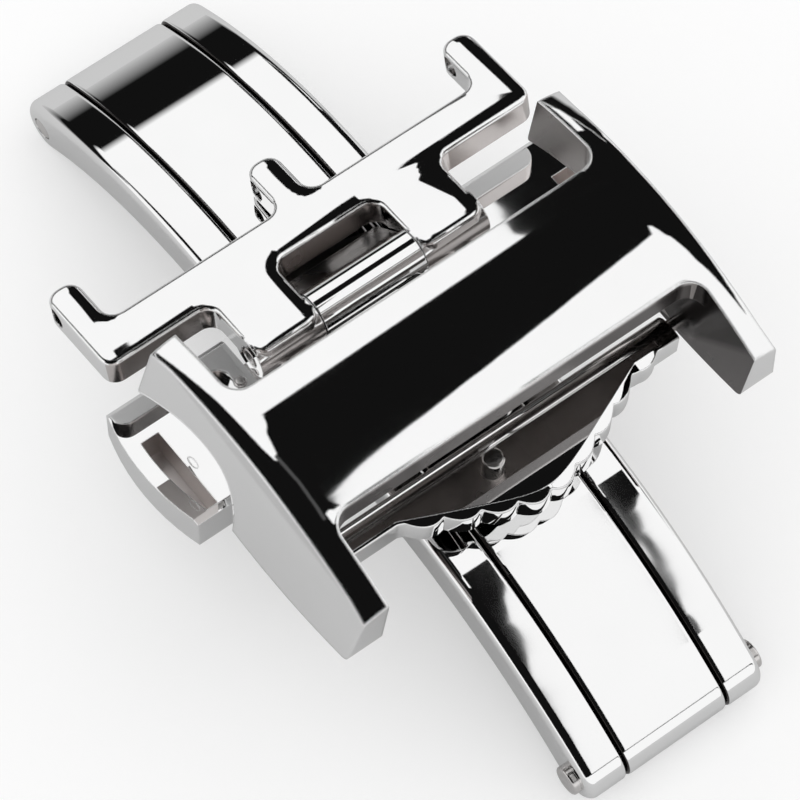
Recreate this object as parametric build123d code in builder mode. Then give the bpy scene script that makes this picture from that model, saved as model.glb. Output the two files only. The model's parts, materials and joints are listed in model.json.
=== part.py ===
from build123d import *
import math
import os

# Butterfly clasp for a strap, closed, standing on the two ends of its arched base.
# X runs across the strap, Y along it and Z up, in millimetres, with the origin under its middle.
# An arched base carries a hinged wing at each end. One wing ends in a barrel that carries the
# strap link. The other carries the arched cover, the strap bed and the scalloped jaw. Two
# sprung pushers slide in the sides of the base and hold the keeper under each wing.

# Running and parting clearances
side_gap = 0.05
bore_gap = 0.05
rest_gap = 0.06
overrun = 1.0
pin_round_share = 0.3

# Arched base
base_width = 9.2
blade_width = 5.2
arch_mid_r = 110.0
arch_end_r = 25.5
arch_break_y = 7.5
boss_r = 1.25
rail_round = 0.45
rail_inner_round = 0.2
hinge_y = 19.35
hinge_pin_r = 0.55
hinge_head_r = 0.68
hinge_head_thickness = 0.35
web_length = 6.6
web_thickness = 0.4

# Wings that fold out of the base
blade_thickness = 1.3
blade_round = 0.2
link_wing_end_y = 0.75
cover_wing_end_y = 1.2
keeper_width = 1.4
keeper_length = 0.6
keeper_drop = 0.55
keeper_y = 1.75

# Barrel of the link wing and the strap link on it
barrel_y = 1.42
barrel_rise = 1.54
barrel_r = 1.05
link_pin_r = 0.45
neck_back = 0.55
ramp_start_share = 0.55
ramp_end_y = 4.0
link_tilt = 10.2
link_width = 22.2
link_thickness = 1.5
link_bar_near = 2.7
link_bar_far = 4.85
link_tip = 7.6
link_lug_width = 1.55
link_arm_outer = 5.9
link_inner_round = 0.55
link_corner_round = 0.4
link_edge_round = 0.42
lug_bore_r = 0.5
lug_bore_back = 0.8

# Arched cover over the strap
cover_y = -5.2
cover_tilt = 3.5
cover_top = 7.9
cover_arch_r = 18.5
cover_length = 14.6
cover_end_flare = 0.3
cover_inner_width = 18.4
cover_top_wall = 1.15
cover_foot_wall = 1.9
cover_roll_width = 1.5
cover_roll_r = 3.0
cover_foot = 2.4
cover_belly = 1.05
crossbar_length = 6.5
crossbar_thickness = 1.4
cover_corner_round = 0.5
notch_round = 0.9

# Relief in the cover's side walls over the pushers, as points (y, height over the base)
relief_points = (
    (3.4, 2.1),
    (2.3, 2.9),
    (0.2, 4.1),
    (-1.4, 4.63),
    (-3.55, 4.36),
    (-4.4, 2.9),
    (-4.6, 1.2),
)

# Strap bed under the crossbar and its fastening to the cover wing
bed_length = 4.9
bed_thickness = 0.8
bed_centre = 0.95
bed_top = 2.4
tongue_length = 1.6
tongue_centre = -0.5
tongue_reach = 0.45
riser_length = 4.0
rivet_r = 0.5
rivet_head_r = 0.85
rivet_head_thickness = 0.3
rivet_depth = 0.9
rivet_pitch = 2.2
peg_r = 0.5
peg_drop = 1.3
peg_back = 0.75
peg_seat = 0.6

# Scalloped jaw on its pin
jaw_barrel_r = 0.95
jaw_pin_r = 0.3
jaw_y = -2.65
jaw_height = 1.95
jaw_end_gap = 0.75
jaw_shoulder_y = -3.45
jaw_shoulder_x = 6.5
jaw_reach_y = -6.3
jaw_nose_r = 1.2
jaw_slope_share = 0.55
jaw_thickness = 1.4
jaw_top = 2.5
jaw_bevel_width = 0.38
jaw_bevel_drop = 0.09
jaw_tooth_count = 8
jaw_tooth_pitch = 1.457
jaw_tooth_depth = 0.34
jaw_pin_seat = 0.6
jaw_pin_inset = 0.1

# Pushers at the sides of the base, with a slot and two oval set pins in the top of each
pusher_inner_x = 5.6
pusher_outer_x = 11.55
pusher_bulge = 0.48
pusher_near_y = -2.7
pusher_far_y = 4.0
pusher_drop = 0.8
pusher_tilt = 4.5
pusher_thickness = 2.1
pusher_chamfer = 0.25
pusher_travel = 0.7
slot_inner_x = 10.35
slot_wall = 0.74
slot_near_wall = 0.3
slot_far_wall = 2.14
slot_depth = 1.8
set_pin_long_r = 0.34
set_pin_short_r = 0.12
set_pin_length = 0.45
set_pin_inner = (10.04, -0.23)
set_pin_outer = (11.17, -1.92)
guide_pin_r = 0.4
guide_pins_left_y = (-1.75, 0.1)
guide_pins_right_y = (-0.15, 1.7)
guide_pin_root = 0.9
guide_bore_wall = 0.25
spring_r = 0.55
spring_wire_r = 0.1
spring_turns = 2
spring_seat = 0.5
spring_seat_r = 0.72

# Catch plates that the pushers carry under the wings
catch_thickness = 0.5
catch_width = 1.6
catch_reach = 1.75
catch_side = 0.3
catch_spare = 0.1
catch_tail = 1.2
catch_rivet_r = 0.28
catch_rivet_rise = 0.12

# Worked out from the sizes above
base_half = base_width / 2
blade_half = blade_width / 2
channel_half = blade_half + side_gap
rail_depth = 2 * boss_r
end_middle_r = arch_end_r - boss_r
break_angle = math.degrees(math.asin(arch_break_y / arch_mid_r))
end_centre_y = (arch_mid_r - arch_end_r) * math.sin(math.radians(break_angle))
end_centre_z = (arch_mid_r - arch_end_r) * math.cos(math.radians(break_angle)) - arch_mid_r
hinge_angle = math.degrees(math.asin((hinge_y - end_centre_y) / end_middle_r))
hinge_drop = end_centre_z + end_middle_r * math.cos(math.radians(hinge_angle))
base_top = boss_r - hinge_drop
hinge_z = boss_r
blade_floor = base_top - blade_thickness
blade_under_r = arch_end_r - blade_thickness
boss_meets = math.degrees(
    math.acos(
        (end_middle_r**2 + blade_under_r**2 - boss_r**2) / (2 * end_middle_r * blade_under_r)
    )
)
web_top = base_top - rail_depth + web_thickness
pusher_top = base_top - pusher_drop
guide_z = pusher_top - pusher_thickness / 2
catch_top = blade_floor - rest_gap
catch_middle = catch_top - catch_thickness / 2
barrel_z = base_top + barrel_rise


def arch_point(angle, depth):
    """Point of the arch at an angle from the vertical, at a depth under its top, as (y, z)."""
    side = math.copysign(1.0, angle)
    turn = math.radians(abs(angle))
    if abs(angle) <= break_angle:
        radius = arch_mid_r - depth
        return side * radius * math.sin(turn), base_top - arch_mid_r + radius * math.cos(turn)
    radius = arch_end_r - depth
    return (
        side * (end_centre_y + radius * math.sin(turn)),
        base_top + end_centre_z + radius * math.cos(turn),
    )


def mid_angle(y):
    """Angle of the arch where its top passes over y, near the middle."""
    return math.degrees(math.asin(y / arch_mid_r))


def arch_run(start, end, depth):
    """Arcs of the arch from one angle to another at one depth."""
    stops = [start] + [a for a in (-break_angle, break_angle) if start < a < end] + [end]
    for first, last in zip(stops, stops[1:]):
        ThreePointArc(
            arch_point(first, depth), arch_point((first + last) / 2, depth), arch_point(last, depth)
        )


def end_tangent(side):
    """Direction of the arch's top where it runs off into the boss at one end."""
    turn = math.radians(hinge_angle)
    return side * math.cos(turn), -math.sin(turn)


def rail_profile():
    """Side profile of the base with a round nose at each end."""
    with BuildSketch() as profile:
        with BuildLine():
            arch_run(-hinge_angle, hinge_angle, 0)
            arch_run(-hinge_angle, hinge_angle, rail_depth)
            for side in (-1, 1):
                TangentArc(
                    arch_point(side * hinge_angle, 0),
                    arch_point(side * hinge_angle, rail_depth),
                    tangent=end_tangent(side),
                )
        make_face()
    return profile.sketch


def wing_profile(inner_y):
    """Side profile of a wing from its inner end, at y, to the boss on its hinge."""
    side = math.copysign(1, inner_y)
    inner = mid_angle(inner_y)
    under = side * (hinge_angle - boss_meets)
    outer = side * hinge_angle
    with BuildSketch() as profile:
        with BuildLine():
            arch_run(min(inner, outer), max(inner, outer), 0)
            arch_run(min(inner, under), max(inner, under), blade_thickness)
            TangentArc(
                arch_point(outer, 0), arch_point(under, blade_thickness), tangent=end_tangent(side)
            )
            Line(arch_point(inner, 0), arch_point(inner, blade_thickness))
        make_face()
    return profile.sketch


def top_arcs(body, x_min):
    """Edges of a body's arched top and round ends that lie further out than x_min."""
    return body.edges().filter_by(
        lambda e: e.geom_type == GeomType.CIRCLE
        and abs((e @ 0).X) > x_min
        and abs((e @ 0).X - (e @ 1).X) < bore_gap
        and min(abs(e.radius - r) for r in (arch_mid_r, arch_end_r, boss_r)) < side_gap
    )


def side_cylinder(y, z, radius, start_x, end_x, mode=Mode.ADD):
    """Cylinder along X in the part that is open."""
    with Locations(((start_x + end_x) / 2, y, z)):
        Cylinder(radius, abs(end_x - start_x), rotation=(0, 90, 0), mode=mode)


def pin(name, y, z, radius, start_x, end_x):
    """Plain pin along X with rounded ends."""
    with BuildPart() as made:
        side_cylinder(y, z, radius, start_x, end_x)
        fillet(made.faces().filter_by(Axis.X).edges(), radius * pin_round_share)
    made.part.label = name
    return made.part


# The tilted frame of the cover and all that it carries
tilt = math.radians(cover_tilt)
cover_origin = (0, cover_y, base_top)
cover_side = Plane(
    origin=cover_origin, x_dir=(0, math.cos(tilt), math.sin(tilt)), z_dir=(1, 0, 0)
)
cover_plan = Plane(
    origin=cover_origin, x_dir=(1, 0, 0), z_dir=(0, -math.sin(tilt), math.cos(tilt))
)
cover_front = Plane(
    origin=cover_origin, x_dir=(1, 0, 0), z_dir=(0, -math.cos(tilt), -math.sin(tilt))
)


def from_cover(along, up):
    """Point of the cover's frame as (y, z) of the part's frame."""
    spot = cover_side.from_local_coords((along, up, 0))
    return spot.Y, spot.Z


# Base frame: two arched rails joined by a web, with slots for the catches
rail_sketch = rail_profile()
with BuildPart() as base_frame:
    with BuildSketch(Plane.YZ):
        add(rail_sketch)
    extrude(amount=base_half, both=True)
    fillet(base_frame.faces().filter_by(Axis.X).edges(), rail_round)
    with Locations((0, 0, base_top / 2)):
        Box(
            2 * channel_half,
            2 * (hinge_y + boss_r + overrun),
            base_top + 2 * overrun,
            mode=Mode.SUBTRACT,
        )
    inner_arcs = [e for e in top_arcs(base_frame, 0) if abs((e @ 0).X) < channel_half + bore_gap]
    fillet(inner_arcs, rail_inner_round)
    with BuildSketch(Plane.YZ):
        with Locations((0, web_top - web_thickness / 2)):
            Rectangle(web_length, web_thickness)
    extrude(amount=channel_half, both=True)
    for side in (-1, 1):
        side_cylinder(side * hinge_y, hinge_z, hinge_pin_r, -base_half, base_half, Mode.SUBTRACT)
    for side, rows in ((-1, guide_pins_left_y), (1, guide_pins_right_y)):
        for row in rows:
            side_cylinder(
                row,
                guide_z,
                guide_pin_r,
                side * (base_half - guide_pin_root),
                side * (base_half + overrun),
                Mode.SUBTRACT,
            )
    for side, row in ((-1, keeper_y), (1, -keeper_y)):
        with Locations((side * (channel_half + base_half) / 2, row, catch_middle)):
            Box(
                base_half - channel_half + overrun,
                catch_width + 2 * side_gap,
                catch_thickness + 2 * rest_gap,
                mode=Mode.SUBTRACT,
            )
base_frame.part.label = "base_frame"

# Hinge pins: plain at the link end, headed at both sides at the cover end
hinge_pin_link = pin("hinge_pin_link", hinge_y, hinge_z, hinge_pin_r, -base_half, base_half)
with BuildPart() as hinge_pin_cover:
    side_cylinder(-hinge_y, hinge_z, hinge_pin_r, -base_half, base_half)
    for side in (-1, 1):
        head_end = side * (base_half + hinge_head_thickness)
        side_cylinder(-hinge_y, hinge_z, hinge_head_r, side * base_half, head_end)
    head_faces = hinge_pin_cover.faces().sort_by(Axis.X)
    fillet(head_faces[0].edges() + head_faces[-1].edges(), hinge_head_thickness * pin_round_share)
hinge_pin_cover.part.label = "hinge_pin_cover"


def keeper(row):
    """Keeper post under a wing, in the part that is open."""
    height = keeper_drop + blade_thickness / 2
    with Locations((0, row, blade_floor - keeper_drop + height / 2)):
        Box(keeper_width, keeper_length, height)


# Link wing: blade, hinge boss, ramp and the barrel that carries the link
link_wing_sketch = wing_profile(link_wing_end_y)
with BuildPart() as link_wing:
    with BuildSketch(Plane.YZ):
        add(link_wing_sketch)
    extrude(amount=blade_half, both=True)
    fillet(top_arcs(link_wing, 0), blade_round)
    with BuildSketch(Plane.YZ):
        with Locations((barrel_y, barrel_z)):
            Circle(barrel_r)
        with BuildLine():
            Polyline(
                (barrel_y - neck_back, base_top - blade_thickness / 2),
                (barrel_y - neck_back, barrel_z),
                (barrel_y + barrel_r * ramp_start_share, barrel_z + barrel_r * ramp_start_share),
                arch_point(mid_angle(ramp_end_y), 0),
                (ramp_end_y, base_top - blade_thickness / 2),
                close=True,
            )
        make_face()
    extrude(amount=blade_half, both=True)
    keeper(keeper_y)
    for row, height, radius in (
        (hinge_y, hinge_z, hinge_pin_r + bore_gap),
        (barrel_y, barrel_z, link_pin_r),
    ):
        side_cylinder(row, height, radius, -blade_half, blade_half, Mode.SUBTRACT)
link_wing.part.label = "link_wing_blade"

link_pin = pin("link_pin", barrel_y, barrel_z, link_pin_r, -link_arm_outer, link_arm_outer)

# Cover wing: blade, hinge boss and the riser under the strap bed
bed_floor = bed_top - bed_thickness
riser_front = bed_centre - riser_length / 2
riser_back = bed_centre + riser_length / 2
cover_wing_sketch = wing_profile(-cover_wing_end_y)
with BuildPart() as cover_wing:
    with BuildSketch(Plane.YZ):
        add(cover_wing_sketch)
    extrude(amount=blade_half, both=True)
    fillet(top_arcs(cover_wing, 0), blade_round)
    with BuildSketch(Plane.YZ):
        with BuildLine():
            Polyline(
                from_cover(riser_front, -blade_thickness / 2),
                from_cover(riser_front, bed_floor),
                from_cover(riser_back, bed_floor),
                from_cover(riser_back, -blade_thickness / 2),
                close=True,
            )
        make_face()
    extrude(amount=blade_half, both=True)
    keeper(-keeper_y)
    side_cylinder(-hinge_y, hinge_z, hinge_pin_r + bore_gap, -blade_half, blade_half, Mode.SUBTRACT)
    with BuildSketch(cover_plan.offset(bed_floor)):
        with Locations((0, bed_centre)):
            with GridLocations(0, rivet_pitch, 1, 2):
                Circle(rivet_r)
    extrude(amount=-rivet_depth, mode=Mode.SUBTRACT)
cover_wing.part.label = "cover_wing_blade"

# Strap link: crossbar, knuckle arms, and three lugs with a cross bore
lean = math.radians(link_tilt)
link_plan = Plane(
    origin=(0, barrel_y, barrel_z), x_dir=(1, 0, 0), z_dir=(0, math.sin(lean), math.cos(lean))
)
link_half = link_width / 2
link_arm_inner = blade_half + side_gap
link_floor = barrel_r - link_thickness
lug_bore = link_plan.from_local_coords((0, link_tip - lug_bore_back, barrel_r - link_thickness / 2))
with BuildPart() as strap_link:
    with BuildSketch(link_plan.offset(link_floor)) as link_outline:
        with Locations((0, (link_bar_near + link_bar_far) / 2)):
            Rectangle(link_width, link_bar_far - link_bar_near)
        with Locations((0, (link_bar_near + link_tip) / 2)):
            Rectangle(link_lug_width, link_tip - link_bar_near)
            with GridLocations(link_width - link_lug_width, 0, 2, 1):
                Rectangle(link_lug_width, link_tip - link_bar_near)
        with Locations((0, link_bar_far / 2)):
            with GridLocations(link_arm_inner + link_arm_outer, 0, 2, 1):
                Rectangle(link_arm_outer - link_arm_inner, link_bar_far)
        inner_corners = link_outline.vertices().filter_by(
            lambda v: min(abs(v.Y - link_bar_far), abs(v.Y - link_bar_near)) < side_gap
            and abs(v.X) < link_half - link_lug_width / 2
        )
        fillet(inner_corners, link_inner_round)
        outer_corners = link_outline.vertices().filter_by(
            lambda v: v.Y > link_tip - side_gap or abs(v.X) > link_half - side_gap
        )
        fillet(outer_corners, link_corner_round)
    extrude(amount=link_thickness)
    link_top = strap_link.faces().sort_by(Axis(link_plan.origin, link_plan.z_dir))[-1]
    fillet(link_top.edges(), link_edge_round)
    for side in (-1, 1):
        side_cylinder(barrel_y, barrel_z, barrel_r, side * link_arm_inner, side * link_arm_outer)
    side_cylinder(
        barrel_y, barrel_z, link_pin_r + bore_gap, -link_half, link_half, Mode.SUBTRACT
    )
    side_cylinder(lug_bore.Y, lug_bore.Z, lug_bore_r, -link_half, link_half, Mode.SUBTRACT)
strap_link.part.label = "strap_link"

# Cover: lens-shaped side walls, an arched crossbar and a relief over each pusher
cover_half = cover_length / 2
inner_half = cover_inner_width / 2
foot_half = inner_half + cover_foot_wall
top_half = inner_half + cover_top_wall
flat_half = top_half - cover_roll_width
crossbar_half = crossbar_length / 2
belly_floor = cover_foot - cover_belly
arch_centre = cover_top - cover_arch_r
under_arch_r = cover_arch_r - crossbar_thickness
cover_end_top = arch_centre + math.sqrt(cover_arch_r**2 - cover_half**2)
roll_angle = math.degrees(math.asin((foot_half - flat_half) / cover_roll_r))
roll_end = cover_top - cover_roll_r * (1 - math.cos(math.radians(roll_angle)))
with BuildPart() as cover:
    with BuildSketch(cover_side) as wall:
        with BuildLine():
            Polyline(
                (cover_half + cover_end_flare, cover_foot),
                (cover_half, cover_end_top),
                (cover_half, cover_top + overrun),
                (-cover_half, cover_top + overrun),
                (-cover_half, cover_end_top),
                (cover_end_flare - cover_half, cover_foot),
            )
            ThreePointArc(
                (cover_half + cover_end_flare, cover_foot),
                (cover_end_flare, belly_floor),
                (cover_end_flare - cover_half, cover_foot),
            )
        make_face()
        fillet(wall.vertices().sort_by(Axis.Y)[:2], cover_corner_round)
    extrude(amount=foot_half, both=True)
    with BuildSketch(cover_front):
        with BuildLine():
            Polyline(
                (-foot_half, 0),
                (-foot_half, belly_floor),
                (-top_half, cover_end_top),
                (-top_half, cover_top + overrun),
                (top_half, cover_top + overrun),
                (top_half, cover_end_top),
                (foot_half, belly_floor),
                (foot_half, 0),
                close=True,
            )
        make_face()
    extrude(amount=cover_length, both=True, mode=Mode.INTERSECT)
    with BuildSketch(cover_front):
        with BuildLine():
            CenterArc(
                (flat_half, cover_top - cover_roll_r), cover_roll_r, 90 - roll_angle, roll_angle
            )
            Line((flat_half, cover_top), (-flat_half, cover_top))
            CenterArc((-flat_half, cover_top - cover_roll_r), cover_roll_r, 90, roll_angle)
            Polyline(
                (-foot_half, roll_end),
                (-foot_half, arch_centre),
                (foot_half, arch_centre),
                (foot_half, roll_end),
            )
        make_face()
    arch_axis = Axis(cover_front.from_local_coords((0, arch_centre, 0)), (1, 0, 0))
    revolve(axis=arch_axis, mode=Mode.INTERSECT)
    with BuildSketch(cover_side):
        with Locations((0, arch_centre)):
            Circle(under_arch_r)
    extrude(amount=inner_half, both=True, mode=Mode.SUBTRACT)
    notch_length = cover_half - crossbar_half + 2 * overrun
    with BuildSketch(cover_plan) as notches:
        with GridLocations(0, 2 * crossbar_half + notch_length, 1, 2):
            Rectangle(cover_inner_width, notch_length)
        fillet(
            notches.vertices().filter_by(lambda v: abs(v.Y) < crossbar_half + side_gap), notch_round
        )
    extrude(amount=cover_top + overrun, mode=Mode.SUBTRACT)
    with BuildSketch(Plane.YZ.offset(-foot_half)):
        with BuildLine():
            relief = [(y, base_top + rise) for y, rise in relief_points]
            Spline(*relief)
            Polyline(relief[-1], (relief[-1][0], base_top), (relief[0][0], base_top), relief[0])
        make_face()
    extrude(amount=2 * foot_half, mode=Mode.SUBTRACT)
    with BuildSketch(cover_plan.offset(bed_floor)):
        with Locations((0, tongue_centre)):
            Rectangle(2 * (inner_half + tongue_reach), tongue_length)
    extrude(amount=bed_thickness, mode=Mode.SUBTRACT)
    jaw_axis_y, jaw_axis_z = from_cover(jaw_y, jaw_height)
    pin_start = -inner_half - jaw_pin_seat
    side_cylinder(jaw_axis_y, jaw_axis_z, jaw_pin_r, pin_start, foot_half, Mode.SUBTRACT)
    peg_y = peg_back - crossbar_half
    peg_root = arch_centre + math.sqrt(under_arch_r**2 - peg_y**2)
    with BuildSketch(cover_plan.offset(peg_root - peg_drop)):
        with Locations((0, peg_y)):
            Circle(peg_r)
    extrude(amount=peg_drop + peg_seat, mode=Mode.SUBTRACT)
cover.part.label = "cover"

# Strap bed with a tongue into each side wall, and the two rivets that hold it on the riser
with BuildPart() as strap_bed:
    with BuildSketch(cover_plan.offset(bed_floor)):
        with Locations((0, bed_centre)):
            Rectangle(cover_inner_width, bed_length)
            with GridLocations(0, rivet_pitch, 1, 2):
                Circle(rivet_r, mode=Mode.SUBTRACT)
        with Locations((0, tongue_centre)):
            with GridLocations(cover_inner_width + tongue_reach, 0, 2, 1):
                Rectangle(tongue_reach, tongue_length)
    extrude(amount=bed_thickness)
strap_bed.part.label = "strap_bed"
with BuildPart() as bed_rivets:
    with BuildSketch(cover_plan.offset(bed_floor - rivet_depth)):
        with Locations((0, bed_centre)):
            with GridLocations(0, rivet_pitch, 1, 2):
                Circle(rivet_r)
    extrude(amount=rivet_depth + bed_thickness)
    with BuildSketch(cover_plan.offset(bed_top)):
        with Locations((0, bed_centre)):
            with GridLocations(0, rivet_pitch, 1, 2):
                Circle(rivet_head_r)
    extrude(amount=rivet_head_thickness)
bed_rivets.part.label = "bed_rivets"

# Peg that hangs from the crossbar and holds the strap
with BuildPart() as strap_peg:
    with BuildSketch(cover_plan.offset(peg_root - peg_drop)):
        with Locations((0, peg_y)):
            Circle(peg_r)
    extrude(amount=peg_drop + peg_seat)
    peg_foot = strap_peg.faces().sort_by(Axis(cover_plan.origin, cover_plan.z_dir))[0]
    fillet(peg_foot.edges(), peg_r * pin_round_share)
strap_peg.part.label = "strap_peg"

# Jaw pin, from a blind seat in one side wall out through the other
pin_wall_share = (jaw_height - belly_floor) / (cover_end_top - belly_floor)
pin_end = foot_half - (foot_half - top_half) * pin_wall_share - jaw_pin_inset
jaw_pin = pin("jaw_pin", jaw_axis_y, jaw_axis_z, jaw_pin_r, pin_start, pin_end)

# Scalloped jaw: barrel on the pin and a toothed plate
jaw_half = inner_half - jaw_end_gap
tooth_steps = 4
tooth_points = []
for step in range(-tooth_steps * jaw_tooth_count // 2, tooth_steps * jaw_tooth_count // 2 + 1):
    tooth_x = step * jaw_tooth_pitch / tooth_steps
    slope = jaw_slope_share * (math.hypot(tooth_x, jaw_nose_r) - jaw_nose_r)
    bite = jaw_tooth_depth * (1 - math.cos(math.tau * step / tooth_steps)) / 2
    tooth_points.append((tooth_x, jaw_reach_y + slope + bite))


def jaw_outline(inset):
    """Outline of the jaw's plate with its toothed edge drawn back by an inset."""
    teeth = [(x, y + inset) for x, y in tooth_points]
    front = jaw_shoulder_y + inset
    with BuildSketch() as outline:
        with BuildLine():
            Spline((-jaw_shoulder_x, front), *teeth, (jaw_shoulder_x, front))
            Polyline(
                (jaw_shoulder_x, front),
                (jaw_half, front),
                (jaw_half, jaw_y),
                (-jaw_half, jaw_y),
                (-jaw_half, front),
                (-jaw_shoulder_x, front),
            )
        make_face()
    return outline.sketch


jaw_foot_sketch = jaw_outline(0)
jaw_lip_sketch = jaw_outline(jaw_bevel_width)
bevel_plane = cover_plan.offset(jaw_top - jaw_bevel_drop)
with BuildPart() as strap_jaw:
    with BuildSketch(bevel_plane):
        add(jaw_foot_sketch)
    extrude(amount=jaw_bevel_drop - jaw_thickness)
    with BuildSketch(bevel_plane):
        add(jaw_foot_sketch)
    with BuildSketch(cover_plan.offset(jaw_top)):
        add(jaw_lip_sketch)
    loft(ruled=True)
    side_cylinder(jaw_axis_y, jaw_axis_z, jaw_barrel_r, -jaw_half, jaw_half)
    side_cylinder(
        jaw_axis_y, jaw_axis_z, jaw_pin_r + bore_gap, -jaw_half, jaw_half, Mode.SUBTRACT
    )
strap_jaw.part.label = "strap_jaw"


def guided(side, rows, catch_y):
    """Pusher, set pins, catch, catch rivet, guide pins and springs of one side, as six parts."""
    inner = side * pusher_inner_x
    outer = side * pusher_outer_x
    slot_inner = side * slot_inner_x
    bore_end = slot_inner - side * guide_bore_wall
    pin_tip = bore_end - side * (pusher_travel + side_gap)
    seat_floor = inner + side * spring_seat
    middle_y = (pusher_near_y + pusher_far_y) / 2
    half_chord = (pusher_far_y - pusher_near_y) / 2
    lens_r = (half_chord**2 + pusher_bulge**2) / (2 * pusher_bulge)
    tail_x = inner + side * catch_tail / 2
    with BuildSketch() as lens:
        with BuildLine():
            Polyline(
                (outer, pusher_near_y),
                (inner, pusher_near_y),
                (inner, pusher_far_y),
                (outer, pusher_far_y),
            )
            ThreePointArc(
                (outer, pusher_near_y),
                (outer + side * pusher_bulge, middle_y),
                (outer, pusher_far_y),
            )
        make_face()
    slot_near = pusher_near_y + slot_near_wall
    slot_far = pusher_far_y - slot_far_wall
    slot_side = []
    for row in (slot_near, (slot_near + slot_far) / 2, slot_far):
        rise = math.sqrt(lens_r**2 - (row - middle_y) ** 2) - lens_r + pusher_bulge
        slot_side.append((outer + side * (rise - slot_wall), row))
    with BuildSketch() as slot:
        with BuildLine():
            Polyline(slot_side[0], (slot_inner, slot_near), (slot_inner, slot_far), slot_side[-1])
            ThreePointArc(*slot_side)
        make_face()
    with BuildSketch() as set_pin_spots:
        for spot_x, spot_y in (set_pin_inner, set_pin_outer):
            with Locations((side * spot_x, spot_y - middle_y)):
                Ellipse(set_pin_short_r, set_pin_long_r)
    fall = math.radians(pusher_tilt)
    top_plane = Plane(
        origin=(0, middle_y, pusher_top), x_dir=(1, 0, 0), z_dir=(0, math.sin(fall), math.cos(fall))
    )
    end_rise = half_chord * math.tan(fall)
    near_top = pusher_top + end_rise
    far_top = pusher_top - end_rise
    rivet_middle = guide_z + (middle_y - catch_y) * math.tan(fall)
    with BuildPart() as body:
        with BuildSketch(Plane.XY.offset(base_top / 2)):
            add(lens.sketch)
        extrude(amount=base_top)
        with BuildSketch(Plane.YZ.offset(inner - side * overrun)):
            with BuildLine():
                Polyline(
                    (pusher_near_y, near_top - pusher_thickness),
                    (pusher_near_y, near_top - pusher_chamfer),
                    (pusher_near_y + pusher_chamfer, near_top),
                    (pusher_far_y - pusher_chamfer, far_top),
                    (pusher_far_y, far_top - pusher_chamfer),
                    (pusher_far_y, far_top - pusher_thickness),
                    close=True,
                )
            make_face()
        extrude(amount=side * 2 * pusher_outer_x, mode=Mode.INTERSECT)
        with BuildSketch(Plane.XY.offset(near_top)):
            add(slot.sketch)
        extrude(amount=-slot_depth - end_rise, mode=Mode.SUBTRACT)
        with BuildSketch(top_plane):
            add(set_pin_spots.sketch)
        extrude(amount=-set_pin_length, mode=Mode.SUBTRACT)
        for row in rows:
            side_cylinder(row, guide_z, guide_pin_r + bore_gap, inner, bore_end, Mode.SUBTRACT)
            side_cylinder(row, guide_z, spring_seat_r, inner, seat_floor, Mode.SUBTRACT)
        with Locations((tail_x, catch_y, catch_middle)):
            Box(catch_tail, catch_width, catch_thickness, mode=Mode.SUBTRACT)
        with Locations((tail_x, catch_y, rivet_middle)):
            Cylinder(catch_rivet_r, 2 * pusher_thickness, mode=Mode.SUBTRACT)
    with BuildPart() as set_pins:
        with BuildSketch(top_plane):
            add(set_pin_spots.sketch)
        extrude(amount=-set_pin_length)
        pin_heads = set_pins.faces().filter_by(lambda f: f.normal_at().Z > math.cos(2 * fall))
        fillet(pin_heads.edges(), set_pin_short_r * pin_round_share)
    with BuildPart() as catch:
        catch_start = inner + side * catch_tail
        catch_end = -side * catch_reach
        with Locations(((catch_start + catch_end) / 2, catch_y, catch_middle)):
            Box(abs(catch_start - catch_end), catch_width, catch_thickness)
        hole_start = side * (keeper_width / 2 + pusher_travel + catch_spare)
        hole_end = -side * (keeper_width / 2 + side_gap)
        with Locations(((hole_start + hole_end) / 2, catch_y, catch_middle)):
            Box(
                abs(hole_start - hole_end),
                keeper_length + 2 * catch_side,
                catch_thickness,
                mode=Mode.SUBTRACT,
            )
        with Locations((tail_x, catch_y, catch_middle)):
            Cylinder(catch_rivet_r, catch_thickness, mode=Mode.SUBTRACT)
    with BuildPart() as rivet:
        with Locations((tail_x, catch_y, rivet_middle + catch_rivet_rise / 2)):
            Cylinder(catch_rivet_r, pusher_thickness + catch_rivet_rise)
        fillet(rivet.faces().sort_by(Axis.Z)[-1].edges(), catch_rivet_rise)
    with BuildPart() as pins:
        for row in rows:
            root = side * (base_half - guide_pin_root)
            side_cylinder(row, guide_z, guide_pin_r, root, pin_tip)
    with BuildPart() as coil:
        coil_length = abs(seat_floor) - base_half - 2 * spring_wire_r
        with BuildLine() as coil_path:
            Helix(coil_length / spring_turns, coil_length, spring_r)
        with BuildSketch(Plane(origin=coil_path.line @ 0, z_dir=coil_path.line % 0)):
            Circle(spring_wire_r)
        sweep()
    with BuildPart() as springs:
        with Locations(
            *[
                Location((side * (base_half + spring_wire_r), row, guide_z), (0, side * 90, 0))
                for row in rows
            ]
        ):
            add(coil.part)
    return body.part, set_pins.part, catch.part, rivet.part, pins.part, springs.part


(
    pusher_left,
    set_pins_left,
    catch_left,
    catch_rivet_left,
    guide_pins_left,
    springs_left,
) = guided(-1, guide_pins_left_y, keeper_y)
(
    pusher_right,
    set_pins_right,
    catch_right,
    catch_rivet_right,
    guide_pins_right,
    springs_right,
) = guided(1, guide_pins_right_y, -keeper_y)
pusher_left.label = "pusher_left"
pusher_right.label = "pusher_right"
set_pins_left.label = "set_pins_left"
set_pins_right.label = "set_pins_right"
catch_left.label = "catch_left"
catch_right.label = "catch_right"
catch_rivet_left.label = "catch_rivet_left"
catch_rivet_right.label = "catch_rivet_right"
guide_pins_left.label = "guide_pins_left"
guide_pins_right.label = "guide_pins_right"
springs_left.label = "pusher_springs_left"
springs_right.label = "pusher_springs_right"

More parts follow.
